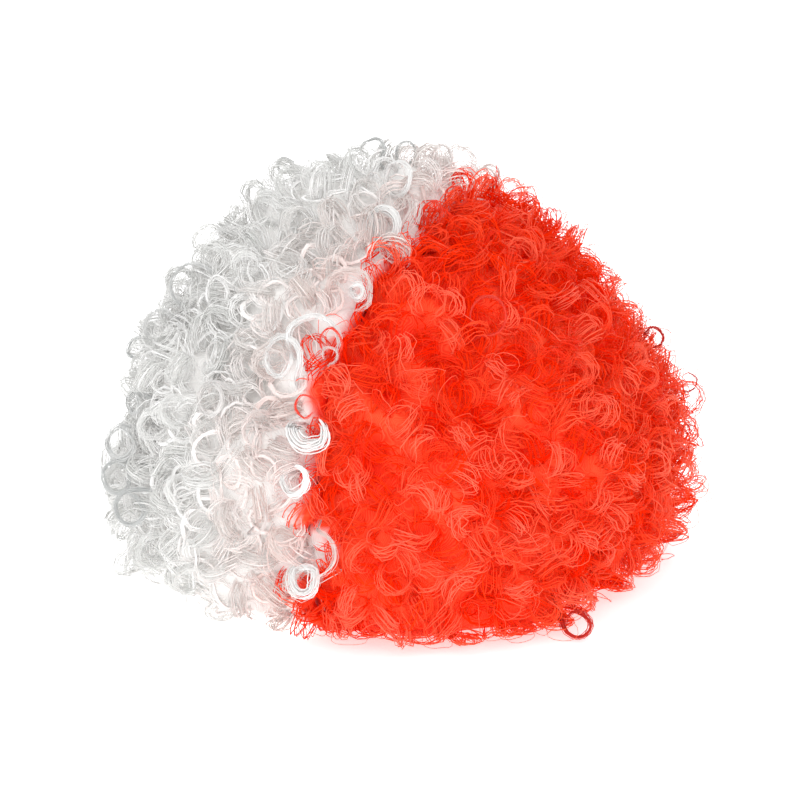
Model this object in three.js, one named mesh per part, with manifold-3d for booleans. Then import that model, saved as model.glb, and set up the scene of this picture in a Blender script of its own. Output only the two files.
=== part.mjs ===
// Two-colour curly afro wig, resting on its rim: a stretch cap that the head goes into, a white half
// and a red half of hair. Each half is a deep mass of curls with ringlet locks fused to it.
// Millimetres, +Z up. The origin lies on the resting surface under the middle of the wig,
// -Y is the brow, +Y the nape, and the red half is on the +X side.
import * as THREE from "three";
import { mergeVertices } from "three/addons/utils/BufferGeometryUtils.js";
import Module from "manifold-3d";

const wasm = await Module();
wasm.setup();

// Cap: inside sizes of the hollow for the head, wall and height of its rim above the surface
const HEAD_WIDTH = 156;
const HEAD_LENGTH = 190;
const CROWN_DEPTH = 122;
const CAP_WALL = 1.6;
const CAP_RIM_HEIGHT = 4;

// Hair mass: outside sizes under the ringlets, which stand RINGLET_RISE proud of it
const MASS_WIDTH = 278;
const MASS_LENGTH = 294;
const MASS_HEIGHT = 200;

// Ringlet: a ridge of fibres in an open ring, with its foot in the mass. Most lie on the mass,
// and each HOOP_EVERY-th one stands up on its ends.
const RINGLET_RISE = 11;
const RINGLET_RADIUS = 13;
const RINGLET_ARC = 270;
const RIDGE_WIDTH = 13;
const RIDGE_HEIGHT = 9;
const RIDGE_FOOT = 6;
const RINGLET_SPACING = 35.2;
const RINGLET_TILT = 30;
const HOOP_TILT = 80;
const HOOP_EVERY = 7;
const RINGLET_SMALLEST = 0.85;
const RINGLET_LARGEST = 1.2;
const ROW_SCATTER = 0.35;
const RINGLET_REACH = RINGLET_LARGEST * (RINGLET_RADIUS + RIDGE_WIDTH / 2 + RIDGE_HEIGHT);

// Parting: on the middle line at the rim, leaning over the red half at the crown. A ringlet nearer to it
// than LAP_CHOICE is white and laps over it, and red ringlets keep RED_MARGIN away.
const PARTING_LEAN = 42;
const PARTING_POWER = 7;
const WHITE_LAP = 6;
const LAP_CHOICE = 15;
const RED_MARGIN = 22;

// Fits and meshing
const PIECE_GAP = 0.6;
const ROUND_STEPS = 24;
const MASS_STEPS = 8;
const CAP_STEPS = 7;
const RINGLET_STEPS = 4;
const PARTING_STEPS = 10;
const BEYOND = 40;

// Outlines from the rim up to the crown, as shares of the height and of the half width or half length
const MASS_OUTLINE = [
  { height: 0.0, spread: 0.87 },
  { height: 0.08, spread: 0.96 },
  { height: 0.2, spread: 1.0 },
  { height: 0.35, spread: 0.985 },
  { height: 0.5, spread: 0.91 },
  { height: 0.65, spread: 0.78 },
  { height: 0.8, spread: 0.59 },
  { height: 0.92, spread: 0.37 },
  { height: 0.99, spread: 0.13 },
  { height: 1.0, spread: 0.0 },
];
const CAP_OUTLINE = [
  { height: 0.0, spread: 0.97 },
  { height: 0.25, spread: 1.0 },
  { height: 0.5, spread: 0.965 },
  { height: 0.72, spread: 0.83 },
  { height: 0.88, spread: 0.59 },
  { height: 0.97, spread: 0.29 },
  { height: 1.0, spread: 0.0 },
];

const WHITE_FIBRE = { color: 0xe4e3df, roughness: 0.38, metalness: 0 };
const RED_FIBRE = { color: 0xf43a1e, roughness: 0.42, metalness: 0 };
const CAP_NET = { color: 0xd9d6d0, roughness: 0.85, metalness: 0 };

// A closed three.js geometry as a solid that can be joined and cut.
function solidOf(geometry) {
  const bare = new THREE.BufferGeometry().setAttribute("position", geometry.getAttribute("position"));
  const merged = mergeVertices(bare.setIndex(geometry.index), 1e-3);
  const corners = [];
  for (let i = 0; i < merged.index.count; i += 3) {
    const [a, b, c] = merged.index.array.slice(i, i + 3);
    if (a !== b && b !== c && c !== a) corners.push(a, b, c);
  }
  return new wasm.Manifold(
    new wasm.Mesh({
      numProp: 3,
      vertProperties: merged.getAttribute("position").array,
      triVerts: new Uint32Array(corners),
    }),
  );
}

// The largest body of a solid: slivers that a cut leaves behind are dropped.
function largestBody(solid) {
  return solid.decompose().sort((a, b) => b.volume() - a.volume())[0];
}

function geometryOf(solid) {
  const { vertProperties, triVerts } = solid.getMesh();
  return new THREE.BufferGeometry()
    .setAttribute("position", new THREE.BufferAttribute(vertProperties, 3))
    .setIndex(new THREE.BufferAttribute(triVerts, 1));
}

// A solid as a named mesh. Merging its vertices can part a body at a point, so it is sorted twice.
function meshOf(name, solid, finish) {
  const merged = solidOf(geometryOf(largestBody(solid)));
  const geometry = geometryOf(largestBody(merged));
  geometry.computeVertexNormals();
  const mesh = new THREE.Mesh(geometry, new THREE.MeshStandardMaterial(finish));
  mesh.name = name;
  return mesh;
}

// The smooth outline through a table's rows, with x across and y up.
function outlineCurve(table, halfWidth, height) {
  return new THREE.SplineCurve(
    table.map((row) => new THREE.Vector2(row.spread * halfWidth, row.height * height)),
  );
}

// A dome over an oval: a straight skirt below its rim, then the outline up to its crown.
function dome(table, halfWidth, halfLength, height, steps, skirt = 0) {
  const outline = outlineCurve(table, halfWidth, height).getSpacedPoints(steps);
  outline[steps].x = 0;
  const foot = skirt ? [new THREE.Vector2(outline[0].x, -skirt)] : [];
  const profile = [new THREE.Vector2(0, -skirt), ...foot, ...outline];
  const geometry = new THREE.LatheGeometry(profile, ROUND_STEPS);
  geometry.rotateX(Math.PI / 2);
  geometry.scale(1, halfLength / halfWidth, 1);
  return geometry;
}

// The form of a head in the cap, grown by a margin, with a skirt where it cuts through a rim.
function headForm(margin, skirt) {
  const halfWidth = HEAD_WIDTH / 2 + margin;
  const halfLength = HEAD_LENGTH / 2 + margin;
  const form = dome(CAP_OUTLINE, halfWidth, halfLength, CROWN_DEPTH + margin, CAP_STEPS, skirt);
  return solidOf(form.translate(0, 0, CAP_RIM_HEIGHT));
}

// How far the parting lies from the middle plane at a height.
function partingAt(height) {
  return PARTING_LEAN * (height / MASS_HEIGHT) ** PARTING_POWER;
}

// All the space on one side of the parting: side is -1 for white and 1 for red.
function besideParting(side) {
  const far = MASS_WIDTH;
  const top = MASS_HEIGHT + RINGLET_RISE + RINGLET_REACH;
  const shape = new THREE.Shape();
  shape.moveTo(side * far, -BEYOND);
  shape.lineTo((side * PIECE_GAP) / 2, -BEYOND);
  for (let step = 0; step <= PARTING_STEPS; step++) {
    const height = (top * step) / PARTING_STEPS;
    shape.lineTo(partingAt(height) + (side * PIECE_GAP) / 2, height);
  }
  shape.lineTo(side * far, top);
  const geometry = new THREE.ExtrudeGeometry(shape, { depth: 2 * MASS_LENGTH, bevelEnabled: false });
  geometry.rotateX(Math.PI / 2);
  geometry.translate(0, MASS_LENGTH, 0);
  return solidOf(geometry);
}

// A number from 0 to 1 that looks random and is the same on each run.
function vary(index, kind) {
  return (index * 0.618034 + kind * 0.754878 + index * kind * 0.137) % 1;
}

// The line that a ringlet's ridge follows: an open ring round +Z. With a margin it runs on by that much
// at both ends, and its other steps stay where they are.
class RingletLine extends THREE.Curve {
  constructor(margin) {
    super();
    this.overrun = margin / RINGLET_RADIUS;
    this.steps = margin > 0 ? RINGLET_STEPS + 2 : RINGLET_STEPS;
  }
  angleAt(u) {
    const arc = THREE.MathUtils.degToRad(RINGLET_ARC);
    const step = u * this.steps - (this.steps - RINGLET_STEPS) / 2;
    return THREE.MathUtils.clamp((arc * step) / RINGLET_STEPS, -this.overrun, arc + this.overrun);
  }
  getPointAt(u) {
    const angle = this.angleAt(u);
    return new THREE.Vector3(RINGLET_RADIUS * Math.cos(angle), RINGLET_RADIUS * Math.sin(angle), 0);
  }
  // The ridge points along +Z all the way round.
  computeFrenetFrames(segments) {
    const frames = { tangents: [], normals: [], binormals: [] };
    for (let k = 0; k <= segments; k++) {
      const angle = this.angleAt(k / segments);
      frames.tangents.push(new THREE.Vector3(-Math.sin(angle), Math.cos(angle), 0));
      frames.normals.push(new THREE.Vector3(0, 0, 1));
      frames.binormals.push(new THREE.Vector3(Math.cos(angle), Math.sin(angle), 0));
    }
    return frames;
  }
}

// One ringlet, placed by a matrix and grown by a margin where it makes room for itself.
function ringlet(placement, margin = 0) {
  const half = RIDGE_WIDTH / 2 + 2 * margin;
  const ridge = new THREE.Shape([
    new THREE.Vector2(-RIDGE_FOOT - margin, -half),
    new THREE.Vector2(RIDGE_HEIGHT + 2 * margin, 0),
    new THREE.Vector2(-RIDGE_FOOT - margin, half),
  ]);
  const line = new RingletLine(margin);
  const geometry = new THREE.ExtrudeGeometry(ridge, { steps: line.steps, extrudePath: line });
  return solidOf(geometry.applyMatrix4(placement));
}

// The angle round a row of the given radius, moved where it would leave a ringlet astride the parting.
function besideAngle(angle, radius, height) {
  const offset = radius * Math.cos(angle) - partingAt(height);
  if (offset < WHITE_LAP || offset > RED_MARGIN) return angle;
  const nearest = offset < LAP_CHOICE ? WHITE_LAP : RED_MARGIN;
  const across = THREE.MathUtils.clamp((partingAt(height) + nearest) / radius, -1, 1);
  return Math.acos(across) * Math.sign(Math.sin(angle) || 1);
}

// A ringlet's place on the mass: at a share of the way up the outline and an angle round it.
function ringletPlace(outline, along, angle, index) {
  const stretch = MASS_LENGTH / MASS_WIDTH;
  const point = outline.getPointAt(along);
  const slope = outline.getTangentAt(along);
  const round = besideAngle(angle, point.x, point.y);
  const out = new THREE.Vector3(
    slope.y * Math.cos(round),
    (slope.y * Math.sin(round)) / stretch,
    -slope.x,
  ).normalize();
  const size = THREE.MathUtils.lerp(RINGLET_SMALLEST, RINGLET_LARGEST, vary(index, 1));
  const hoop = index % HOOP_EVERY === 0;
  const rise = hoop ? RINGLET_RADIUS + RIDGE_WIDTH / 2 : RIDGE_HEIGHT;
  const seat = new THREE.Vector3(
    point.x * Math.cos(round),
    point.x * Math.sin(round) * stretch,
    point.y,
  ).addScaledVector(out, RINGLET_RISE - size * rise);
  const tilt = THREE.MathUtils.degToRad(hoop ? HOOP_TILT : RINGLET_TILT * vary(index, 2));
  const turned = new THREE.Quaternion()
    .setFromUnitVectors(new THREE.Vector3(0, 0, 1), out)
    .multiply(turnAbout(0, 0, 1, 2 * Math.PI * vary(index, 3)))
    .multiply(turnAbout(1, 0, 0, tilt))
    .multiply(turnAbout(0, 0, 1, 2 * Math.PI * vary(index, 4)));
  const matrix = new THREE.Matrix4().compose(seat, turned, new THREE.Vector3(size, size, size));
  return { matrix, offset: seat.x - partingAt(Math.max(0, seat.z)) };
}

function turnAbout(x, y, z, angle) {
  return new THREE.Quaternion().setFromAxisAngle(new THREE.Vector3(x, y, z), angle);
}

// Places for all the ringlets, in scattered rows round the mass from the rim to the crown.
function ringletPlaces() {
  const outline = outlineCurve(MASS_OUTLINE, MASS_WIDTH / 2, MASS_HEIGHT);
  const rows = Math.round(outline.getLength() / RINGLET_SPACING);
  const places = [];
  for (let row = 0; row < rows; row++) {
    const girth = 2 * Math.PI * outline.getPointAt((row + 0.5) / rows).x;
    const count = Math.max(1, Math.round(girth / RINGLET_SPACING));
    for (let k = 0; k < count; k++) {
      const index = places.length;
      const along = (row + 0.5 + ROW_SCATTER * (vary(index, 5) - 0.5)) / rows;
      const share = (k + 0.5 * (row % 2) + ROW_SCATTER * (vary(index, 6) - 0.5)) / count;
      places.push(ringletPlace(outline, along, 2 * Math.PI * share, index));
    }
  }
  return places;
}

// The cap: a hollow wall, open at its rim.
function wigCap() {
  const outside = headForm(CAP_WALL);
  const hollow = headForm(0, BEYOND);
  return meshOf("wig_cap", outside.subtract(hollow), CAP_NET);
}

const places = ringletPlaces();
const whitePlaces = places.filter((place) => place.offset < LAP_CHOICE);
const redPlaces = places.filter((place) => place.offset >= LAP_CHOICE);
const lappingPlaces = whitePlaces.filter((place) => place.offset > -RINGLET_REACH);

// Trims a half of the hair to the resting surface and to the room that the cap takes.
function trimmed(half) {
  const aboveSurface = new THREE.BoxGeometry(2 * MASS_WIDTH, 2 * MASS_LENGTH, 2 * MASS_HEIGHT);
  aboveSurface.translate(0, 0, MASS_HEIGHT);
  return half.intersect(solidOf(aboveSurface)).subtract(headForm(CAP_WALL + PIECE_GAP, BEYOND));
}

// The plain mass under the ringlets, over both halves.
function hairMass() {
  return solidOf(dome(MASS_OUTLINE, MASS_WIDTH / 2, MASS_LENGTH / 2, MASS_HEIGHT, MASS_STEPS));
}

// The white half, whose ringlets lap over the parting.
function whiteHair() {
  const mass = hairMass().intersect(besideParting(-1));
  const half = whitePlaces.reduce((joined, place) => joined.add(ringlet(place.matrix)), mass);
  return meshOf("white_hair", trimmed(half), WHITE_FIBRE);
}

// The red half, with room left for the white ringlets that lap over it.
function redHair() {
  const joined = redPlaces.reduce((mass, place) => mass.add(ringlet(place.matrix)), hairMass());
  const half = lappingPlaces.reduce(
    (left, place) => left.subtract(ringlet(place.matrix, PIECE_GAP)),
    joined.intersect(besideParting(1)),
  );
  return meshOf("red_hair", trimmed(half), RED_FIBRE);
}

const wig = new THREE.Group();
wig.add(wigCap(), whiteHair(), redHair());

export default wig;
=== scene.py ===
# Two-colour afro wig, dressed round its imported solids. Each half of the hair is a dense mass under sets of
# ringlets, which are wound from fine strands and a few wider locks. Metres, +Z up, the brow towards -Y.
import math
from collections import namedtuple

import bpy
import numpy as np
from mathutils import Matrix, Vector


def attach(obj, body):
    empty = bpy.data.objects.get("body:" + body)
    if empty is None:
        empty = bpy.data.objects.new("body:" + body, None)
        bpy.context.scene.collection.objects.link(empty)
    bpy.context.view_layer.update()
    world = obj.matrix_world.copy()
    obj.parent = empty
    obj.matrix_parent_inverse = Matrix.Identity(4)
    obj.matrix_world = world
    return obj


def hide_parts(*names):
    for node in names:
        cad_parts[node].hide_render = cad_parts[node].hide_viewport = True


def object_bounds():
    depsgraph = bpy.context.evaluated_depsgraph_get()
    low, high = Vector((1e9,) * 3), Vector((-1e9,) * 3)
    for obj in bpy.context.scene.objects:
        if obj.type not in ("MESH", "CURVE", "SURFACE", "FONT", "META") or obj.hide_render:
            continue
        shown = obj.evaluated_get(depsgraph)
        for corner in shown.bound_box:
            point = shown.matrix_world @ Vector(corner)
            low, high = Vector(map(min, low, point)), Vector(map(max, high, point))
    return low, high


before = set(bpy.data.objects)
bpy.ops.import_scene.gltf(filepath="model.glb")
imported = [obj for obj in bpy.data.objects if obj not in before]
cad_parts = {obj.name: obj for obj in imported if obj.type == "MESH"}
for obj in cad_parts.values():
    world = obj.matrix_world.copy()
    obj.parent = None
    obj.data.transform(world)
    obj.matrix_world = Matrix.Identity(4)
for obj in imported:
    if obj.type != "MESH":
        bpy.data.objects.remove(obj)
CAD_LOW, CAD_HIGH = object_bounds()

# Millimetre, the least length that a vector is divided by, and the halves of the hair
MM = 0.001
SHORTEST = 1e-9
HALVES = ("white", "red")

# Photograph: its frame, and where the camera stood
IMAGE_SIZE = 800
WIG_MIDDLE_PIXEL = (398, 354)
PIXEL_SIZE = 0.51 * MM
CAMERA_AZIMUTH = 19
CAMERA_ELEVATION = 18
CAMERA_DISTANCE = 1.6
SENSOR_WIDTH = 36
SIGHT_STEPS = 2000

# Light: a soft panel in front and one behind, an even white world, and a pale floor that glows a little
Light = namedtuple("Light", "name place size power")
LIGHTS = [
    Light("key_light", (0.55, -1.7, 0.9), 2.0, 26),
    Light("back_light", (-0.6, 1.75, 1.2), 2.0, 26),
]
LIGHT_AIM = (0, 0, 0.1)
LIGHT_BOUNCES = 24
WORLD_STRENGTH = 0.81
FLOOR_SIZE = 12
FLOOR_COLOUR = (0.95, 0.95, 0.95)
FLOOR_ROUGHNESS = 0.9
FLOOR_GLOW = 0.5

# Hair form: the mass that the ringlets stand out of. Its outline gives the spread, as a share of the half
# width, at each share of the height.
STAND_OUT = 14 * MM
MASS_HALF_WIDTH = (CAD_HIGH.x - CAD_LOW.x) / 2 - STAND_OUT
MASS_HALF_LENGTH = (CAD_HIGH.y - CAD_LOW.y) / 2 - STAND_OUT
MASS_HEIGHT = CAD_HIGH.z - STAND_OUT
MASS_OUTLINE = [
    {"height": 0.0, "spread": 0.87},
    {"height": 0.08, "spread": 0.96},
    {"height": 0.2, "spread": 1.0},
    {"height": 0.35, "spread": 0.985},
    {"height": 0.5, "spread": 0.91},
    {"height": 0.65, "spread": 0.78},
    {"height": 0.8, "spread": 0.59},
    {"height": 0.92, "spread": 0.37},
    {"height": 0.99, "spread": 0.13},
    {"height": 1.0, "spread": 0.0},
]
OUTLINE_STEPS = 24
GOLDEN_ANGLE = math.pi * (3 - math.sqrt(5))
PLACE_SCATTER = 0.3

# Mass: the copy of a half's solid is worn down to soft waves and drawn in between two shares of its size
MASS_VOXEL = 6 * MM
MERGE_DISTANCE = 0.01 * MM
WEAR_FACTOR = 0.5
WEAR_PASSES = 40
PARTING_WEAR_PASSES = 15
MASS_INSET = 9.5 * MM
MASS_CORE = 0.75
MASS_SHELL = 0.95

# Parting: it leans to the red side at the crown, where the white ringlets lap over it by less than none in
# front and more behind. White ringlets reach a little past it, and red and deep white ones keep off it.
PARTING_LEAN = 42 * MM
PARTING_POWER = 7
PARTING_EDGE = 6 * MM
PARTING_SCATTER = 3 * MM
CROWN_LAP = (-8 * MM, 16 * MM)
CROWN_TURN = (5 * MM, 35 * MM)
WHITE_LAP = 3 * MM
RED_HOLD = 2 * MM
DEEP_WHITE_ROOM = 6 * MM

# Places of the photograph where the hair departs from the round mass and its parting: the pixel, and the
# amount and spread of it there in millimetres. A tuft stands out, or lies low under 0. A shift brings the red
# hair over the parting, or the white under 0.
Local = namedtuple("Local", "pixel amount spread")
PARTING_SHIFTS = [
    Local((328, 344), 9, 8),
    Local((303, 384), 10, 11),
    Local((300, 518), 5, 8),
    Local((322, 552), -18, 13),
    Local((292, 600), 11, 9),
]
TUFTS = [
    Local((280, 180), 22, 30),
    Local((235, 212), 5, 24),
    Local((175, 282), 12, 24),
    Local((125, 410), -9, 28),
    Local((110, 522), -10, 24),
    Local((135, 582), 12, 18),
    Local((190, 605), -9, 18),
    Local((425, 153), 12, 28),
    Local((632, 300), -11, 24),
    Local((668, 338), 9, 16),
    Local((694, 400), 18, 24),
    Local((690, 550), -10, 22),
    Local((650, 592), -7, 26),
    Local((500, 640), 11, 38),
]

# Soft waves all over the hair: how many cross, how high they are and how long, in millimetres. The white
# half has only a share of the small ones, and changes to the red half over a strip beside the parting.
Lumps = namedtuple("Lumps", "seed count height length")
BROAD_LUMPS = Lumps(7, 8, 4.2, (45, 80))
SMALL_LUMPS = Lumps(8, 10, 2.0, (20, 32))
WHITE_LUMP_SHARE = 0.4
LUMP_BLEND = 20 * MM

# Tone of a ringlet, from 0 to 1, as painted light and shade: it is lighter on the crests of the small lumps
# and below an even height, and darker in the hollows between them and above that height
MIDDLE_TONE = 0.5
PAINTED_CREST_SWING = 0.38
TONE_SCATTER = 0.16
PAINTED_LIGHT_LOW_DOWN = 0.4
EVEN_HEIGHT = 0.6

# Sets of ringlets: places are spread over the whole wig, sizes are in millimetres, and a pair is the least
# and the most. The rise is how far a ringlet's middle lies out of the mass, and upright is how much its axis
# turns out of the mass.
CurlSet = namedtuple("CurlSet", "half layer places radius turns pitch rise upright")
CURL_SETS = [
    CurlSet("white", "under", 700, (7.0, 11.0), (0.8, 1.1), (1.0, 3.0), (-5, -1), 4.0),
    CurlSet("white", "inner", 640, (7.0, 9.5), (1.0, 1.4), (3.0, 5.0), (-5, 0), 0.6),
    CurlSet("white", "outer", 400, (7.5, 9.5), (1.3, 1.7), (2.5, 4.5), (1, 5), 0.6),
    CurlSet("white", "loose", 600, (6.0, 11.0), (1.1, 1.6), (2.0, 8.0), (0, 9), 0.6),
    CurlSet("red", "under", 700, (7.0, 11.0), (0.8, 1.1), (1.0, 3.0), (-5, -1), 4.0),
    CurlSet("red", "inner", 700, (6.0, 9.0), (0.9, 1.25), (3.0, 6.0), (-5, 0), 0.6),
    CurlSet("red", "outer", 560, (6.0, 9.0), (0.9, 1.25), (2.5, 5.0), (1, 5), 0.6),
    CurlSet("red", "loose", 1300, (5.0, 9.0), (0.8, 1.2), (2.0, 8.0), (0, 9), 0.6),
]
FIRST_SEED = 1

# What the ringlets of a set are wound from: how many to a ringlet, half width and half depth of each, how
# far they spread along the ringlet and how far they stray from it, in millimetres, and the stretch of the
# ringlet that they cover. Cores and plies are sized in half thicknesses of their lock instead.
Fibre = namedtuple("Fibre", "kind count width depth spread frizz stretch")
FIBRES = {
    ("white", "under"): [
        Fibre("locks", 1, (0.8, 1.4), 0.4, 0.0, 0.6, (0, 1)),
        Fibre("fill", 2, (0.2, 0.4), 0.25, 5.0, 0.8, (0, 1)),
    ],
    ("white", "inner"): [Fibre("frizz", 8, (0.14, 0.32), 0.2, 8.0, 0.5, (0, 1))],
    ("white", "outer"): [
        Fibre("frizz", 13, (0.1, 0.26), 0.16, 7.5, 0.5, (0, 1)),
        Fibre("glints", 1, (0.25, 0.5), 0.3, 0.0, 0.2, (0.15, 0.5)),
    ],
    ("white", "loose"): [Fibre("strands", 1, (0.12, 0.22), 0.16, 0.0, 0.9, (0, 1))],
    ("white", "picture"): [
        Fibre("cores", 1, (0.3, 0.3), 0.3, 0.0, 0.1, (0, 1)),
        Fibre("plies", 18, (0.05, 0.15), 0.1, 0.0, 0.5, (0, 1)),
    ],
    ("red", "under"): [Fibre("fill", 4, (0.2, 0.4), 0.25, 8.0, 1.2, (0, 1))],
    ("red", "inner"): [Fibre("fill", 8, (0.16, 0.36), 0.22, 9.0, 1.3, (0, 1))],
    ("red", "outer"): [Fibre("frizz", 9, (0.13, 0.28), 0.18, 9.0, 1.3, (0, 1))],
    ("red", "loose"): [Fibre("strands", 1, (0.1, 0.2), 0.14, 0.0, 1.2, (0, 1))],
    ("red", "picture"): [
        Fibre("cores", 1, (0.55, 0.55), 0.55, 0.0, 0.1, (0, 1)),
        Fibre("plies", 8, (0.1, 0.24), 0.16, 0.0, 0.4, (0, 1)),
    ],
}
CENTRED_KINDS = ("locks", "glints", "cores")
LOCK_SIZED_KINDS = ("cores", "plies")
ROUND_ENDED_KINDS = ("glints", "cores")

# Sections of the fibres: corners across a fibre and out of its flat side, as shares of its half width and
# half depth, and the points along it
TRIANGLE = [(1.0, -0.5), (0.0, 1.0), (-1.0, -0.5)]
LENS = [(1.0, 0.0), (0.5, 0.9), (-0.5, 0.9), (-1.0, 0.0), (0.0, -0.6)]
HEXAGON = [(1.0, 0.0), (0.5, 0.87), (-0.5, 0.87), (-1.0, 0.0), (-0.5, -0.87), (0.5, -0.87)]
Section = namedtuple("Section", "corners steps")
SECTIONS = {
    "locks": Section(LENS, 12),
    "glints": Section(LENS, 9),
    "cores": Section(HEXAGON, 30),
    "plies": Section(TRIANGLE, 17),
    "strands": Section(TRIANGLE, 16),
    "frizz": Section(TRIANGLE, 13),
    "fill": Section(TRIANGLE, 11),
}

# Ends of a fibre: its share of the full size there, and the share of its length that gains a whole size. A
# round-ended fibre follows part of an arch instead.
End = namedtuple("End", "size gain")
ROOT_END = End(0.4, 0.1)
TIP_END = End(0.2, 0.15)
ARCH_START = 0.08
ARCH_POWER = 0.6

# Winding of a ringlet: it comes out of the mass at its root, tightens and gathers towards its tip, wanders on
# the way and stays above the hem. Strays and the hem's gaps to the floor are in millimetres, and a ply's
# reach is in half thicknesses of its lock.
ROOT_DEPTH = 11 * MM
ROOT_SHARE = 0.16
TIP_TIGHTENING = 0.22
TIGHTENING_POWER = 1.5
TIP_GATHER = 0.55
GATHER_START = 0.5
PHASE_SCATTER = 0.5
TURN_SCATTER = 0.05
WANDER = 0.7 * MM
WAVE_TURNS = np.array([1.2, 2.3, 3.7])
WAVE_FALL = 0.7
ROOT_WAVE = 0.35
STRAY = {"strands": 0.8, "frizz": 1.6, "fill": 1.6}
PLY_REACH = (0.3, 1.1)
PLY_TWIST = 2
HEM_GAP = {"white": (5, 13), "red": (3, 10)}
FLOOR_SOFTNESS = 1.5 * MM

# How far normals are turned out of the mass, so that fine hair is shaded as a soft body
SOFTNESS = {"white": 0.2, "red": 0.3}
PICTURE_SOFTNESS = 0.15

# Locks that stand out in the photograph: the pixel at the middle of the curl, its radius, where it starts
# and how far it runs round from there, counter-clockwise from the right, how far it turns away from the
# picture, the lock's half thickness, and how far it stands out of the mass. Millimetres and degrees. Locks
# that rise little are on the outline, and duller, with painted shade; the others are lighter, with painted
# light.
PictureLock = namedtuple("PictureLock", "half pixel radius start sweep turned thick rise")
PICTURE_LOCKS = [
    PictureLock("white", (310, 430), 8.6, 125, 265, 0, 4.0, 15),
    PictureLock("white", (350, 293), 12.0, 195, -265, 10, 1.4, 14),
    PictureLock("white", (357, 291), 3.6, 90, 420, 20, 1.7, 15),
    PictureLock("white", (315, 344), 14.0, 190, -205, 0, 1.6, 15),
    PictureLock("white", (282, 357), 10.5, 250, 480, 40, 1.6, 14),
    PictureLock("white", (295, 479), 7.5, 130, 300, 30, 2.6, 14),
    PictureLock("white", (249, 516), 9.0, 200, 400, 10, 0.7, 14),
    PictureLock("white", (384, 224), 8.0, 200, 420, 35, 2.6, 14),
    PictureLock("white", (311, 557), 12.5, 100, -170, 0, 1.1, 15),
    PictureLock("white", (304, 579), 6.6, 90, 400, 10, 2.6, 15),
    PictureLock("white", (329, 355), 4.2, 200, 380, 10, 0.5, 16),
    PictureLock("white", (262, 432), 10.0, 70, 150, 10, 1.4, 14),
    PictureLock("white", (218, 291), 8.0, 40, 400, 35, 1.2, 13),
    PictureLock("white", (211, 399), 8.5, 20, 420, 40, 1.3, 13),
    PictureLock("white", (160, 326), 8.3, 0, 420, 5, 1.0, 10),
    PictureLock("white", (192, 288), 13.0, 20, 230, 20, 0.9, 9),
    PictureLock("white", (137, 348), 5.5, 0, 420, 20, 1.3, 8),
    PictureLock("white", (135, 403), 5.5, 0, 430, 30, 1.5, 8),
    PictureLock("white", (122, 443), 8.5, 20, 430, 15, 1.7, 8),
    PictureLock("white", (118, 477), 9.0, 0, 420, 10, 1.4, 8),
    PictureLock("white", (131, 508), 8.5, 30, 420, 20, 1.4, 8),
    PictureLock("white", (285, 166), 4.5, 300, 420, 10, 1.2, 8),
    PictureLock("white", (398, 178), 9.5, 60, 420, 45, 1.6, 28),
    PictureLock("white", (372, 150), 6.5, 250, 300, 20, 1.2, 8),
    PictureLock("white", (405, 152), 6.0, 250, 380, 30, 0.8, 8),
    PictureLock("white", (440, 157), 6.5, 240, 380, 20, 0.8, 8),
    PictureLock("white", (490, 174), 5.5, 200, 330, 20, 0.8, 8),
    PictureLock("red", (306, 407), 6.0, 300, 400, 25, 0.6, 18),
    PictureLock("red", (330, 342), 8.0, 250, 420, 50, 0.6, 15),
    PictureLock("red", (432, 212), 5.5, 250, 400, 20, 0.6, 13),
    PictureLock("red", (455, 196), 5.5, 230, 400, 20, 0.6, 12),
    PictureLock("red", (487, 315), 10.0, 200, 380, 10, 0.7, 13),
    PictureLock("red", (577, 624), 7.4, 110, 440, 10, 1.4, 8),
    PictureLock("red", (653, 337), 5.5, 200, 400, 15, 0.9, 8),
    PictureLock("red", (688, 382), 5.0, 200, 290, 30, 0.4, 8),
    PictureLock("red", (690, 432), 5.0, 180, 290, 30, 0.4, 8),
]
PICTURE_SEED = 50
PICTURE_PITCH = 3 * MM
PICTURE_LIFT = 2 * MM
PICTURE_ROOM = 4 * MM
OUTLINE_RISE = 10
PAINTED_OUTLINE_SHADE = 0.1
PAINTED_PICTURE_LIGHT = 0.75

# Map of the strands: each is laid in a square cell, with its turns round the ringlet along the cell. The
# first rows of cells are for locks with painted red bounce light, the nearest to the parting first, and the
# others go from dull to bright, by painted light and shade and some random tone. Locks under the ringlets
# and those of the photograph show only one stretch of a turn.
STRAND_MAP = "OFBake"
CELLS = 24
CELL_MARGIN = 0.04
MOST_TURNS = 2.2
RED_BOUNCE_ROWS = 8
LOCK_TURNS = (0.2, 0.4)
PICTURE_TURNS = (0.35, 0.65)

# Painted red bounce light, a tint that red hair throws on white locks beside it: how far it reaches, and
# the half thickness below which the photograph's locks take it
PAINTED_RED_BOUNCE = (1.0, 0.86, 0.83)
RED_BOUNCE_REACH = 55 * MM
RED_BOUNCE_SCATTER = 0.15
RED_BOUNCE_THICKNESS = 1.5 * MM
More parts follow.
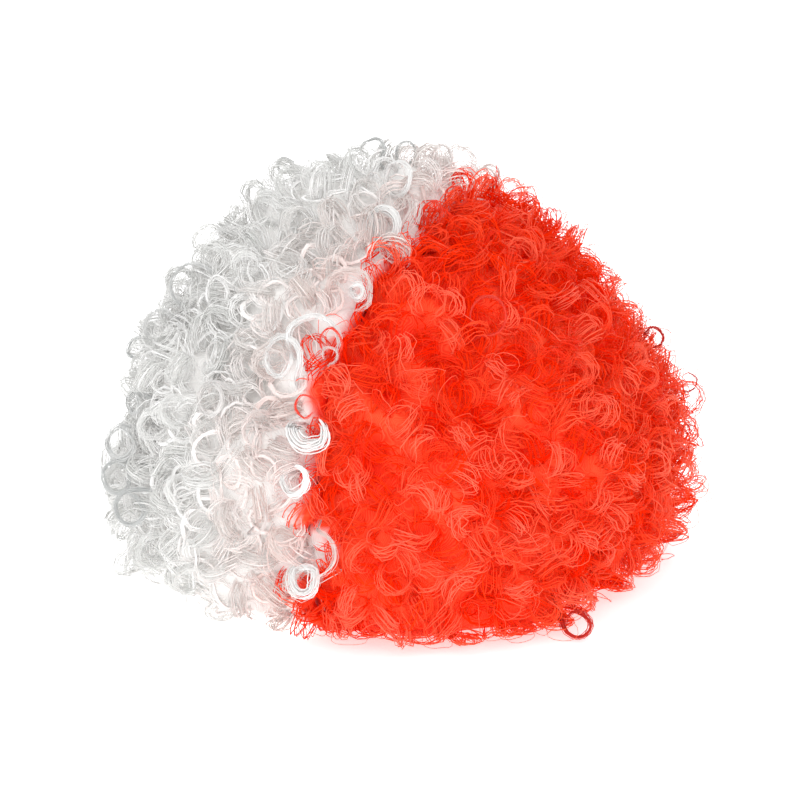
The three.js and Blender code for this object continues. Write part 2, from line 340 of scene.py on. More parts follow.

# Fibre colours: the part of a strand next to the mass, and a dull, a usual and a bright lock. A strand goes
# from the first to the colour of its lock as the cosine of its turn falls. The part next to the mass is
# mostly paler, and hair deep in the wig is paler than the hair over it: painted light, for the light that
# fine fibre lets through. A lock's tone from dull to bright is partly painted light and shade, partly random.
FibreLook = namedtuple("FibreLook", "half look roughness shine deep dull usual bright")
FIBRE_LOOKS = [
    FibreLook(
        "white", "deep", 0.5, 0.15,
        (0.97, 0.965, 0.96), (0.89, 0.885, 0.875), (0.92, 0.915, 0.905), (0.95, 0.945, 0.935),
    ),
    FibreLook(
        "white", "outer", 0.5, 0.15,
        (0.91, 0.905, 0.895), (0.71, 0.71, 0.695), (0.745, 0.745, 0.73), (0.785, 0.785, 0.77),
    ),
    FibreLook(
        "white", "picture", 0.35, 0.4,
        (0.9, 0.89, 0.875), (0.6, 0.61, 0.605), (0.78, 0.775, 0.765), (0.88, 0.875, 0.865),
    ),
    FibreLook(
        "red", "deep", 0.6, 0.0,
        (0.96, 0.03, 0.002), (0.9, 0.018, 0.001), (0.96, 0.045, 0.006), (1.0, 0.14, 0.075),
    ),
    FibreLook(
        "red", "outer", 0.55, 0.15,
        (0.96, 0.04, 0.003), (0.86, 0.026, 0.002), (0.94, 0.06, 0.013), (1.0, 0.145, 0.08),
    ),
    # red picture locks are darker all over than the other red hair: painted shade
    FibreLook(
        "red", "picture", 0.45, 0.3,
        (0.7, 0.012, 0.001), (0.5, 0.01, 0.001), (0.62, 0.02, 0.004), (0.85, 0.07, 0.04),
    ),
]
# ringlets deep in the wig take the paler deep look: painted light
LAYER_LOOKS = {"under": "deep", "inner": "deep", "outer": "outer", "loose": "outer"}
TONE_STOPS = (0.2, 0.5, 0.8)
LOCK_WEIGHT = 0.8
STRAND_WEIGHT = 0.06
STREAK_WEIGHT = 0.14
STREAK_SCALE = (1.5, 14.0, 1.0)
TURN_COSINES = (1.0, -0.6)

# Look of the mass: its colours, dark and light, its fibres, their swirls, and what it keeps of the ringlets:
# their painted light and shade, and their redness
WHITE_MASS = [(0.82, 0.805, 0.79), (0.95, 0.94, 0.925)]
RED_MASS = [(0.85, 0.014, 0.001), (1.0, 0.1, 0.035)]
MASS_STOPS = (0.1, 0.9)
MASS_FIBRE = 1.4 * MM
MASS_SWIRL = 14 * MM
MASS_SWIRL_AMOUNT = 70
MASS_BUMP = 0.3 * MM
MASS_BUMP_STRENGTH = 0.4
MASS_ROUGHNESS = 0.6
MASS_SHINE = 0.1
WAVE_PERIOD = math.pi / 10
PAINTED_LIGHT_MAP = "crest"
PAINTED_LIGHT_WEIGHT = 0.6
RED_MAP = "redness"
COLOUR_BLEND = 6 * MM

# Net of the cap: cells in a metre, and its threads and gaps by their distance from a cell's edge
NET_CELLS = 420
NET_STOPS = [(0.05, (0.62, 0.58, 0.53)), (0.3, (0.3, 0.27, 0.24))]
NET_ROUGHNESS = 0.85


def unit(vectors):
    return vectors / np.maximum(np.linalg.norm(vectors, axis=-1, keepdims=True), SHORTEST)


def smooth_step(share):
    share = np.clip(share, 0, 1)
    return share * share * (3 - 2 * share)


def between(rng, limits, shape):
    return rng.uniform(limits[0], limits[1], shape)


# Hair form

def smooth_outline(rows, steps):
    """Points on a smooth curve through the rows of an outline table: spread, then height."""
    points = np.array([(row["spread"], row["height"]) for row in rows])
    points = np.vstack([2 * points[0] - points[1], points, 2 * points[-1] - points[-2]])
    t = np.linspace(0, 1, steps, endpoint=False)[:, None]
    stretches = [
        0.5 * (2 * b + (c - a) * t + (2 * a - 5 * b + 4 * c - d) * t**2 + (3 * b - a - 3 * c + d) * t**3)
        for a, b, c, d in zip(points, points[1:], points[2:], points[3:])
    ]
    return np.vstack(stretches + [points[-2][None]])


MASS_CURVE = smooth_outline(MASS_OUTLINE, OUTLINE_STEPS)


def mass_places(count, rng):
    """Places spread evenly over the mass: points on it and the directions out of it."""
    radius = np.maximum(MASS_CURVE[:, 0], 0) * MASS_HALF_WIDTH
    height = MASS_CURVE[:, 1] * MASS_HEIGHT
    step = np.hypot(np.diff(radius), np.diff(height))
    girth = (radius[1:] + radius[:-1]) / 2
    area = np.concatenate([[0], np.cumsum(step * girth)])
    share = (np.arange(count) + rng.random(count)) / count * area[-1]
    angle = np.arange(count) * GOLDEN_ANGLE + rng.normal(0, PLACE_SCATTER, count) / math.sqrt(count)
    r = np.interp(share, area, radius)
    z = np.interp(share, area, height)
    slope_r = np.interp(share, area, np.gradient(radius))
    slope_z = np.interp(share, area, np.gradient(height))
    stretch = MASS_HALF_LENGTH / MASS_HALF_WIDTH
    points = np.stack([r * np.cos(angle), r * np.sin(angle) * stretch, z], axis=1)
    outward = np.stack([slope_z * np.cos(angle), slope_z * np.sin(angle) / stretch, -slope_r], axis=1)
    return points, unit(outward)


def hair_level(points):
    """Share by which points lie outside the mass; it is under 0 inside."""
    height = points[..., 2] / MASS_HEIGHT
    spread = np.interp(height, MASS_CURVE[:, 1], MASS_CURVE[:, 0])
    reach = np.hypot(points[..., 0] / MASS_HALF_WIDTH, points[..., 1] / MASS_HALF_LENGTH)
    return reach - spread + np.maximum(height - 1, 0)


def parting_offset(points, lap=0):
    """How far points lie on the red side of the parting, or of a line that laps over it at the crown."""
    height = np.clip(points[:, 2], 0, None) / MASS_HEIGHT
    return points[:, 0] - (PARTING_LEAN + lap) * height**PARTING_POWER


def crown_lap(points):
    """How far the white hair laps over the parting at the crown, from its front to its back."""
    front, back = CROWN_LAP
    share = (points[:, 1] - CROWN_TURN[0]) / (CROWN_TURN[1] - CROWN_TURN[0])
    return front + (back - front) * smooth_step(share)


def local_amounts(points, places):
    """What places of the photograph add up to at points, fading out with the distance."""
    total = np.zeros(len(points))
    for place in places:
        middle, _, _ = hair_spot(place.pixel, 0)
        apart = np.linalg.norm(points - middle, axis=-1) / (place.spread * MM)
        total += place.amount * MM * np.exp(-apart**2)
    return total


def red_offset(points):
    """How far points lie on the red side of the line where the colours of the ringlets meet."""
    return parting_offset(points, crown_lap(points)) + local_amounts(points, PARTING_SHIFTS)


def on_dome(points):
    """Points moved straight out from the middle of the wig's foot to one even dome."""
    size = np.array((MASS_HALF_WIDTH, MASS_HALF_LENGTH, MASS_HEIGHT))
    return points / np.linalg.norm(points / size, axis=-1, keepdims=True)


def waviness(points, lumps):
    """How high points lie on a set of crossing waves, mostly from -1 to 1, the same at any depth."""
    rng = np.random.default_rng(lumps.seed)
    ways = unit(rng.normal(size=(lumps.count, 3)))
    lengths = between(rng, lumps.length, lumps.count) * MM
    phases = rng.uniform(0, 2 * math.pi, lumps.count)
    heights = np.sin(on_dome(points) @ ways.T * 2 * math.pi / lengths + phases)
    return np.sum(heights, axis=-1) / math.sqrt(lumps.count)


def tufts(points):
    """How far the hair stands out in tufts: waves all over it, and the tufts of the photograph."""
    red_share = smooth_step(0.5 + parting_offset(points) / LUMP_BLEND)
    small = WHITE_LUMP_SHARE + (1 - WHITE_LUMP_SHARE) * red_share
    rise = BROAD_LUMPS.height * waviness(points, BROAD_LUMPS)
    rise = rise + small * SMALL_LUMPS.height * waviness(points, SMALL_LUMPS)
    return (rise * MM + local_amounts(points, TUFTS))[..., None]


def painted_tuft_light(points):
    """How light the hair is painted, from 0 to 1: painted light on the crests of the small lumps and low
    down, and painted shade in their hollows and up high.
    """
    low = PAINTED_LIGHT_LOW_DOWN * (EVEN_HEIGHT - points[:, 2] / MASS_HEIGHT)
    return np.clip(MIDDLE_TONE + low + PAINTED_CREST_SWING * waviness(points, SMALL_LUMPS), 0, 1)


# Photograph's view

def camera_axes():
    """Directions in the photograph, to the right, up and back to the camera, and the point it looks at."""
    azimuth = math.radians(CAMERA_AZIMUTH)
    elevation = math.radians(CAMERA_ELEVATION)
    level = math.cos(elevation)
    back = np.array((math.sin(azimuth) * level, -math.cos(azimuth) * level, math.sin(elevation)))
    right = np.array((math.cos(azimuth), math.sin(azimuth), 0))
    up = np.cross(back, right)
    centre = IMAGE_SIZE / 2
    across = (centre - WIG_MIDDLE_PIXEL[0]) * PIXEL_SIZE
    above = (WIG_MIDDLE_PIXEL[1] - centre) * PIXEL_SIZE
    aim = np.array((0, 0, CAD_HIGH.z / 2)) + right * across + up * above
    return right, up, back, aim


def hair_spot(pixel, rise, lift=0):
    """Where the sight through a pixel comes within a rise of the mass, the way out, and how far out it is.

    A spot lower than the lift is brought nearer to the camera along the sight, in front of the hem.
    """
    right, up, back, aim = camera_axes()
    centre = IMAGE_SIZE / 2
    across = (pixel[0] - centre) * PIXEL_SIZE
    above = (centre - pixel[1]) * PIXEL_SIZE
    eye = aim + back * CAMERA_DISTANCE
    sight = unit(aim + right * across + up * above - eye)
    nearest = CAMERA_DISTANCE - MASS_HALF_LENGTH - MASS_HEIGHT
    farthest = CAMERA_DISTANCE + MASS_HALF_LENGTH
    line = eye + np.linspace(nearest, farthest, SIGHT_STEPS)[:, None] * sight
    level = hair_level(line) * MASS_HALF_WIDTH
    met = np.flatnonzero(level < rise)
    first = met[0] if len(met) else np.argmin(level)
    if line[first][2] < lift:
        first = np.flatnonzero(line[:, 2] >= lift)[-1]
    place = line[first]
    sides = np.eye(3) * MM
    slope = hair_level(place + sides) - hair_level(place - sides)
    return place, unit(slope), max(level[first], 0)


# Ringlets, a row for each: the middle and the way out of the mass, the axis and two directions across it,
# which way round it runs, its radius, turns, starting angle and pitch, the depth of its root, the half
# thickness of a lock of the photograph, the height of the hem, its tone of painted light and shade, and
# its waves

Curls = namedtuple(
    "Curls", "middle outward axis first second hand radius turns phase pitch root thick hem tone wander"
)
Waves = namedtuple("Waves", "push phase")


def waves(rng, shape, amount):
    """Soft waves along fibres: how far and where each of a few sines pushes them."""
    push = rng.normal(0, amount, (*shape, len(WAVE_TURNS), 3)) / WAVE_TURNS[:, None] ** WAVE_FALL
    phase = rng.uniform(0, 2 * math.pi, (*shape, len(WAVE_TURNS), 3))
    return Waves(push, phase)


def wave_offsets(wave, t):
    """The waves' offsets at shares of the length, growing towards the tip."""
    angle = 2 * math.pi * WAVE_TURNS[:, None] * t[:, None, None] + wave.phase[..., None, :, :]
    offsets = np.sum(wave.push[..., None, :, :] * np.sin(angle), axis=-2)
    return offsets * (ROOT_WAVE + (1 - ROOT_WAVE) * t[:, None])


def scattered_curls(curl_set, keep_clear, rng):
    """The ringlets of a set, scattered over its half of the mass, each starting next to the mass."""
    points, outward = mass_places(curl_set.places, rng)
    offset = red_offset(points) + rng.normal(0, PARTING_SCATTER, len(points))
    chosen = offset < WHITE_LAP if curl_set.half == "white" else offset > RED_HOLD
    if curl_set.layer == "outer":
        apart = np.linalg.norm(points[:, None] - keep_clear[None], axis=-1)
        chosen &= np.min(apart, axis=1) > PICTURE_ROOM
    points, outward = points[chosen], outward[chosen]
    count = len(points)
    along = unit(np.cross(outward, rng.normal(size=(count, 3))))
    axis = unit(along + outward * rng.normal(0, curl_set.upright, (count, 1)))
    first = unit(np.cross(axis, rng.normal(size=(count, 3))))
    second = np.cross(axis, first)
    deepest = np.arctan2(-np.sum(outward * second, axis=1), -np.sum(outward * first, axis=1))
    middle = points + outward * (between(rng, curl_set.rise, (count, 1)) * MM + tufts(points))
    return Curls(
        middle=middle,
        outward=outward,
        axis=axis,
        first=first,
        second=second,
        hand=rng.choice([-1.0, 1.0], count),
        radius=between(rng, curl_set.radius, count) * MM,
        turns=between(rng, curl_set.turns, count),
        phase=deepest + rng.normal(0, PHASE_SCATTER, count),
        pitch=between(rng, curl_set.pitch, count) * MM,
        root=np.full(count, ROOT_DEPTH),
        thick=np.zeros(count),
        hem=between(rng, HEM_GAP[curl_set.half], count) * MM,
        # painted light on lump crests and low down, painted shade in hollows and up high
        tone=painted_tuft_light(middle),
        wander=waves(rng, (count,), WANDER),
    )


def off_parting(curls):
    """The ringlets that lie clear of the parting on its white side."""
    chosen = red_offset(curls.middle) < -DEEP_WHITE_ROOM
    wander = Waves(*(values[chosen] for values in curls.wander))
    return Curls(*(values[chosen] for values in curls[:-1]), wander)


def on_outline(lock):
    return lock.rise <= OUTLINE_RISE


def picture_curls(locks, rng):
    """The curls of locks that stand out in the photograph, facing it."""
    right, up, back, _ = camera_axes()
    spots = [hair_spot(lock.pixel, lock.rise * MM, lock.radius * MM + PICTURE_LIFT) for lock in locks]
    turned = np.radians([lock.turned for lock in locks])[:, None]
    first = right * np.cos(turned) + back * np.sin(turned)
    second = np.broadcast_to(up, first.shape)
    sweep = np.array([lock.sweep for lock in locks])
    count = len(locks)
    return Curls(
        middle=np.array([place for place, _, _ in spots]),
        outward=np.array([out for _, out, _ in spots]),
        axis=np.cross(first, second),
        first=first,
        second=second,
        hand=np.sign(sweep),
        radius=np.array([lock.radius for lock in locks]) * MM,
        turns=np.abs(sweep) / 360,
        phase=np.radians([lock.start for lock in locks]),
        pitch=np.full(count, PICTURE_PITCH),
        root=ROOT_DEPTH + np.array([height for _, _, height in spots]),
        thick=np.array([lock.thick for lock in locks]) * MM,
        hem=np.full(count, FLOOR_SOFTNESS),
        # painted shade on outline locks, painted light on the others
        tone=np.where([on_outline(lock) for lock in locks], PAINTED_OUTLINE_SHADE, PAINTED_PICTURE_LIGHT),
        wander=waves(rng, (count,), WANDER),
    )


# Fibres of the ringlets

Wound = namedtuple("Wound", "paths flats widths depths turns outward")


def above_hem(path, hem):
    """Bends paths up where they would pass below the hem of the hair."""
    lift = (path[..., 2] - hem) / FLOOR_SOFTNESS
    path[..., 2] = hem + FLOOR_SOFTNESS * np.logaddexp(0, lift)
    return path


def fibre_offsets(curls, fibre, t, rng):
    """How far fibres lie from the line of their ringlet, outwards from its axis and along it."""
    shape = (len(curls.middle), fibre.count)
    if fibre.kind in CENTRED_KINDS:
        return np.zeros((*shape, 1)), np.zeros((*shape, 1))
    gather = 1 - TIP_GATHER * smooth_step((t - GATHER_START) / (1 - GATHER_START))
    if fibre.kind == "plies":
        around = 2 * math.pi * np.arange(fibre.count)[None, :, None] / fibre.count + PLY_TWIST * t
        reach = curls.thick[:, None, None] * between(rng, PLY_REACH, (*shape, 1))
        return reach * np.cos(around) * gather, reach * np.sin(around) * gather
    out = rng.uniform(-1, 1, (*shape, 1)) * STRAY[fibre.kind] * MM
    along = rng.uniform(-0.5, 0.5, (*shape, 1)) * fibre.spread * MM
    return out * gather, along * gather


def fibre_taper(kind, share):
    """How thick a fibre is at shares of its length, as a share of its full size."""
    if kind in ROUND_ENDED_KINDS:
        return np.sin(math.pi * (ARCH_START + (1 - 2 * ARCH_START) * share)) ** ARCH_POWER
    root = ROOT_END.size + share / ROOT_END.gain
    tip = TIP_END.size + (1 - share) / TIP_END.gain
    return np.minimum(1, np.minimum(root, tip))


def wound_fibres(curls, fibre, rng):
    """Fibres wound along ringlets: paths, flat directions, half sizes, and turns at both ends."""
    steps = SECTIONS[fibre.kind].steps
    shape = (len(curls.middle), fibre.count)
    share = np.linspace(0, 1, steps)
    t = fibre.stretch[0] + (fibre.stretch[1] - fibre.stretch[0]) * share
    hand = curls.hand[:, None, None]
    turns = curls.turns[:, None, None] + rng.normal(0, TURN_SCATTER, (*shape, 1))
    angle = curls.phase[:, None, None] + 2 * math.pi * turns * hand * t
    out, along = fibre_offsets(curls, fibre, t, rng)
    radius = curls.radius[:, None, None] * (1 - TIP_TIGHTENING * t**TIGHTENING_POWER) + out
    along = along + curls.pitch[:, None, None] * turns * (t - 0.5)
    sink = curls.root[:, None, None] * (1 - smooth_step(t / ROOT_SHARE))
    path = (
        curls.middle[:, None, None]
        + (radius * np.cos(angle))[..., None] * curls.first[:, None, None]
        + (radius * np.sin(angle))[..., None] * curls.second[:, None, None]
        + along[..., None] * curls.axis[:, None, None]
        - sink[..., None] * curls.outward[:, None, None]
        + wave_offsets(curls.wander, t)[:, None]
        + wave_offsets(waves(rng, shape, fibre.frizz * MM), t)
    )
    path = above_hem(path, curls.hem[:, None, None])
    size = curls.thick[:, None, None] if fibre.kind in LOCK_SIZED_KINDS else MM
    taper = fibre_taper(fibre.kind, share)
    width = between(rng, fibre.width, (*shape, 1)) * size * taper
    depth = fibre.depth * size * taper * np.ones((*shape, 1))
    flat = np.broadcast_to((curls.axis * curls.hand[:, None])[:, None, None], path.shape)
    ends = turns * np.array(fibre.stretch)
    ends = np.where(curls.thick[:, None, None] > 0, PICTURE_TURNS, ends)
    if fibre.kind == "locks":
        flat = np.cos(angle)[..., None] * curls.first[:, None, None]
        flat = flat + np.sin(angle)[..., None] * curls.second[:, None, None]
        ends = np.broadcast_to(LOCK_TURNS, ends.shape)
    lines = shape[0] * shape[1]
    return Wound(
        paths=path.reshape(lines, steps, 3),
        flats=flat.reshape(lines, steps, 3),
        widths=width.reshape(lines, steps),
        depths=depth.reshape(lines, steps),
        turns=ends.reshape(lines, 2),
        outward=np.repeat(curls.outward, fibre.count, axis=0),
    )


def fibre_faces(corners, steps):
    """Corner numbers and map places of one fibre's triangles: a point, rings of corners, a point."""
    rings = steps - 2
    tip = 1 + corners * rings
    faces, places = [], []
    for corner in range(corners):
        beside = (corner + 1) % corners
        low, high = corner / corners, (corner + 1) / corners
        middle = (low + high) / 2
        faces.append((0, 1 + beside, 1 + corner))
        places.append(((0, middle), (1, high), (1, low)))
        for ring in range(rings - 1):
            a, b = 1 + corners * ring + corner, 1 + corners * ring + beside
            faces.append((a, b, b + corners))
            places.append(((ring + 1, low), (ring + 1, high), (ring + 2, high)))
            faces.append((a, b + corners, a + corners))
            places.append(((ring + 1, low), (ring + 2, high), (ring + 2, low)))
        last = 1 + corners * (rings - 1)
        faces.append((tip, last + corner, last + beside))
        places.append(((steps - 1, middle), (rings, low), (rings, high)))
    places = np.array(places, float)
    places[..., 0] /= steps - 1
    return np.array(faces), places


def strand_uvs(places, wound, cells):
    """Map places of all fibres' corners, each fibre laid along its cell by its turns."""
    start, end = wound.turns[:, 0, None, None], wound.turns[:, 1, None, None]
    along = (start + (end - start) * places[None, ..., 0]) / MOST_TURNS
    inner = np.stack([along, np.broadcast_to(places[..., 1], along.shape)], axis=-1)
    return (cells[:, None, None, :] + CELL_MARGIN + (1 - 2 * CELL_MARGIN) * inner) / CELLS


def fibre_mesh(name, section, wound, cells, softness):
    """One mesh of closed fibres, with normals turned out of the mass by the softness."""
    paths = wound.paths
    lines, steps, _ = paths.shape
    tangent = unit(np.gradient(paths, axis=1))
    across = unit(wound.flats - np.sum(wound.flats * tangent, axis=-1, keepdims=True) * tangent)
    out = np.cross(tangent, across)
    rings = (
        paths[:, 1:-1, None]
        + section[:, 0, None] * wound.widths[:, 1:-1, None, None] * across[:, 1:-1, None]
        + section[:, 1, None] * wound.depths[:, 1:-1, None, None] * out[:, 1:-1, None]
    )
    points = np.concatenate([paths[:, :1], rings.reshape(lines, -1, 3), paths[:, -1:]], axis=1)
    sides = unit(
        section[:, 0, None] / wound.widths[:, 1:-1, None, None] * across[:, 1:-1, None]
        + section[:, 1, None] / wound.depths[:, 1:-1, None, None] * out[:, 1:-1, None]
    )
    normals = np.concatenate([-tangent[:, :1], sides.reshape(lines, -1, 3), tangent[:, -1:]], axis=1)
    normals = unit((1 - softness) * normals + softness * wound.outward[:, None])
    faces, places = fibre_faces(len(section), steps)
    per_line = points.shape[1]
    corners = (faces[None] + per_line * np.arange(lines)[:, None, None]).ravel()
    uvs = strand_uvs(places, wound, cells)
    mesh = bpy.data.meshes.new(name)
    mesh.vertices.add(lines * per_line)
    mesh.vertices.foreach_set("co", points.astype(np.float32).ravel())
    mesh.loops.add(len(corners))
    mesh.loops.foreach_set("vertex_index", corners.astype(np.int32))
    mesh.polygons.add(len(corners) // 3)
    mesh.polygons.foreach_set("loop_start", np.arange(0, len(corners), 3, dtype=np.int32))
    mesh.uv_layers.new(name=STRAND_MAP).uv.foreach_set("vector", uvs.astype(np.float32).ravel())
    mesh.update(calc_edges=True)
    mesh.polygons.foreach_set("use_smooth", np.ones(len(mesh.polygons), bool))
    mesh.normals_split_custom_set_from_vertices(normals.reshape(-1, 3))
    piece = bpy.data.objects.new(name, mesh)
    bpy.context.scene.collection.objects.link(piece)
    return piece


def map_rows(half, curls, rng):
    """The map's row for each ringlet, by its tone of painted light and shade, or by its distance from the
    parting if it takes the painted red bounce light.
    """
    count = len(curls.middle)
    tone = np.clip(curls.tone + rng.normal(0, TONE_SCATTER, count), 0, 1)
    plain = np.minimum(RED_BOUNCE_ROWS + (tone * (CELLS - RED_BOUNCE_ROWS)).astype(int), CELLS - 1)
    if half == "red":
        return plain
    # white ringlets near the parting take painted red bounce light
    away = -parting_offset(curls.middle) / RED_BOUNCE_REACH + rng.normal(0, RED_BOUNCE_SCATTER, count)
    near = np.clip(away, 0, 1) * RED_BOUNCE_ROWS
    bounce_tinted = (near < RED_BOUNCE_ROWS) & (curls.thick < RED_BOUNCE_THICKNESS)
    return np.where(bounce_tinted, near.astype(int), plain)


def wind_ringlets(half, layer, curls, material, rng):
    """One piece for each kind of fibre in a set of ringlets."""
    rows = map_rows(half, curls, rng)[:, None]
    softness = PICTURE_SOFTNESS if layer == "picture" else SOFTNESS[half]
    for fibre in FIBRES[half, layer]:
        columns = rng.integers(0, CELLS, (len(rows), fibre.count))
        cells = np.stack([columns, np.broadcast_to(rows, columns.shape)], axis=-1).reshape(-1, 2)
        section = np.array(SECTIONS[fibre.kind].corners)
        wound = wound_fibres(curls, fibre, rng)
        piece = fibre_mesh(f"{half}_{layer}_{fibre.kind}", section, wound, cells, softness)
        piece.data.materials.append(material)
        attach(piece, "root")


# Dense mass under the ringlets

def apply_modifier(piece, kind, **settings):
    modifier = piece.modifiers.new(kind.lower(), kind)
    for key, value in settings.items():
        setattr(modifier, key, value)
    bpy.ops.object.modifier_apply(modifier=modifier.name)


def only(piece):
    bpy.ops.object.select_all(action="DESELECT")
    piece.select_set(True)
    bpy.context.view_layer.objects.active = piece


def mesh_points(piece):
    points = np.empty((len(piece.data.vertices), 3), np.float32)
    piece.data.vertices.foreach_get("co", points.ravel())
    return points


def soften_off_parting(piece):
    """Wears a mass down to soft waves, beside the parting only along it, so that the halves still meet."""
    offset = np.abs(parting_offset(mesh_points(piece)))
    weights = smooth_step((offset - PARTING_EDGE) / PARTING_EDGE)
    group = piece.vertex_groups.new(name="off_parting")
    for index, weight in enumerate(weights):
        group.add([index], float(weight), "REPLACE")
    wear = {"factor": WEAR_FACTOR, "vertex_group": group.name}
    along_parting = {"invert_vertex_group": True, "use_x": False}
    apply_modifier(piece, "SMOOTH", iterations=WEAR_PASSES, **wear)
    apply_modifier(piece, "SMOOTH", iterations=PARTING_WEAR_PASSES, **along_parting, **wear)
    piece.vertex_groups.clear()


def draw_in(piece):
    """Moves the outside of a mass towards the middle of its foot, to leave room for the ringlets over it.

    The mass also keeps how red the ringlets over it are, and their painted light and shade.
    """
    points = mesh_points(piece)
    share = np.linalg.norm(points / (MASS_HALF_WIDTH, MASS_HALF_LENGTH, MASS_HEIGHT), axis=1)
    outside = smooth_step((share - MASS_CORE) / (MASS_SHELL - MASS_CORE))
    inset = (MASS_INSET - tufts(points)[:, 0]) * outside
    # the mass keeps the ringlets' painted light and shade, and their redness
    kept = {PAINTED_LIGHT_MAP: painted_tuft_light(points), RED_MAP: smooth_step(0.5 + red_offset(points) / COLOUR_BLEND)}
    for name, values in kept.items():
        attribute = piece.data.attributes.new(name, "FLOAT", "POINT")
        attribute.data.foreach_set("value", values.astype(np.float32))
    points *= (1 - inset / np.linalg.norm(points, axis=1))[:, None]
    piece.data.vertices.foreach_set("co", points.ravel())


def hair_mass(half, material):
    """A copy of a half's solid with its corners worn down to soft waves."""
    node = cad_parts[f"{half}_hair"]
    piece = bpy.data.objects.new(f"{half}_hair_mass", node.data.copy())
    bpy.context.scene.collection.objects.link(piece)
    only(piece)
    bpy.ops.object.mode_set(mode="EDIT")
    bpy.ops.mesh.select_all(action="SELECT")
    bpy.ops.mesh.remove_doubles(threshold=MERGE_DISTANCE)
    bpy.ops.object.mode_set(mode="OBJECT")
    apply_modifier(piece, "REMESH", mode="VOXEL", voxel_size=MASS_VOXEL)
    soften_off_parting(piece)
    draw_in(piece)
    bpy.ops.object.shade_smooth()
    piece.data.materials.clear()
    piece.data.materials.append(material)
    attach(piece, "root")
    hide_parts(f"{half}_hair")


# Shader nodes

def new_material(name):
    material = bpy.data.materials.new(name)
    material.use_nodes = True
    nodes = material.node_tree.nodes
    return material, nodes, material.node_tree.links, nodes["Principled BSDF"]


def math_node(nodes, links, operation, *inputs):
    node = nodes.new("ShaderNodeMath")
    node.operation = operation
    for socket, value in zip(node.inputs, inputs):
        if isinstance(value, (int, float)):
            socket.default_value = value
        else:
            links.new(value, socket)
    return node.outputs[0]


def vector_node(nodes, links, operation, vector):
    node = nodes.new("ShaderNodeVectorMath")
    node.operation = operation
    links.new(vector, node.inputs[0])
    return node


def split_node(nodes, links, vector):
    node = nodes.new("ShaderNodeSeparateXYZ")
    links.new(vector, node.inputs[0])
    return node.outputs


def range_node(nodes, links, value, start, end, top=1.0, kind="LINEAR"):
    """Maps a value that goes from a start to an end to one that goes from 0 to the top."""
    node = nodes.new("ShaderNodeMapRange")
    node.interpolation_type = kind
    node.inputs["From Min"].default_value = start
    node.inputs["From Max"].default_value = end
    node.inputs["To Max"].default_value = top
    links.new(value, node.inputs["Value"])
    return node.outputs["Result"]


def ramp_node(nodes, links, factor, stops):
    node = nodes.new("ShaderNodeValToRGB")
    ramp = node.color_ramp
    while len(ramp.elements) < len(stops):
        ramp.elements.new(0.5)
    for element, (place, colour) in zip(ramp.elements, stops):
        element.position = place
        element.color = (*colour, 1)
    links.new(factor, node.inputs["Fac"])
    return node.outputs["Color"]


def mix_node(nodes, links, factor, first, second, blend="MIX"):
    """Mixes two colours, each a socket or a plain colour."""
    node = nodes.new("ShaderNodeMix")
    node.data_type = "RGBA"
    node.blend_type = blend
    links.new(factor, node.inputs["Factor"])
    for socket, colour in ((node.inputs["A"], first), (node.inputs["B"], second)):
        if isinstance(colour, tuple):
            socket.default_value = (*colour, 1)
        else:
            links.new(colour, socket)
    return node.outputs["Result"]


def attribute_node(nodes, name):
    node = nodes.new("ShaderNodeAttribute")
    node.attribute_name = name
    return node.outputs["Fac"]


# Materials

def strand_tones_group():
    """Tones of a strand from its place in the map: its lock, itself, its streaks, free side and tint.

    The lock's tone is partly painted light and shade, the side next to the mass takes paler painted light,
    and the tint is painted red bounce light.
    """
    group = bpy.data.node_groups.new("strand_tones", "ShaderNodeTree")
    nodes, links = group.nodes, group.links
    uv = nodes.new("ShaderNodeUVMap")
    uv.uv_map = STRAND_MAP
    scaled = vector_node(nodes, links, "SCALE", uv.outputs["UV"])
    scaled.inputs["Scale"].default_value = CELLS
    cell = vector_node(nodes, links, "FLOOR", scaled.outputs[0])
    inside = vector_node(nodes, links, "FRACTION", scaled.outputs[0])
    row = split_node(nodes, links, cell.outputs[0])["Y"]
    across = split_node(nodes, links, inside.outputs[0])["X"]
    lock = range_node(nodes, links, row, RED_BOUNCE_ROWS, CELLS - 1)
    bounce_tinted = math_node(nodes, links, "LESS_THAN", row, RED_BOUNCE_ROWS)
    strand = nodes.new("ShaderNodeTexWhiteNoise")
    strand.noise_dimensions = "2D"
    links.new(cell.outputs[0], strand.inputs["Vector"])
    stretch = nodes.new("ShaderNodeMapping")
    stretch.inputs["Scale"].default_value = STREAK_SCALE
    links.new(scaled.outputs[0], stretch.inputs["Vector"])
    streak = nodes.new("ShaderNodeTexNoise")
    streak.noise_dimensions = "2D"
    streak.inputs["Scale"].default_value = 1.0
    streak.inputs["Detail"].default_value = 1.0
    links.new(stretch.outputs[0], streak.inputs["Vector"])
    turn = range_node(nodes, links, across, CELL_MARGIN, 1 - CELL_MARGIN, 2 * math.pi * MOST_TURNS)
    facing = math_node(nodes, links, "COSINE", turn)
    tones = {
        "Lock": math_node(nodes, links, "MULTIPLY_ADD", bounce_tinted, MIDDLE_TONE, lock),
        "Strand": strand.outputs["Value"],
        "Streak": streak.outputs["Fac"],
        "Outer": range_node(nodes, links, facing, *TURN_COSINES, kind="SMOOTHSTEP"),
        "Tint": range_node(nodes, links, row, RED_BOUNCE_ROWS, 0),
    }
    for name in tones:
        group.interface.new_socket(name, in_out="OUTPUT", socket_type="NodeSocketFloat")
    out = nodes.new("NodeGroupOutput")
    for name, value in tones.items():
        links.new(value, out.inputs[name])
    return group


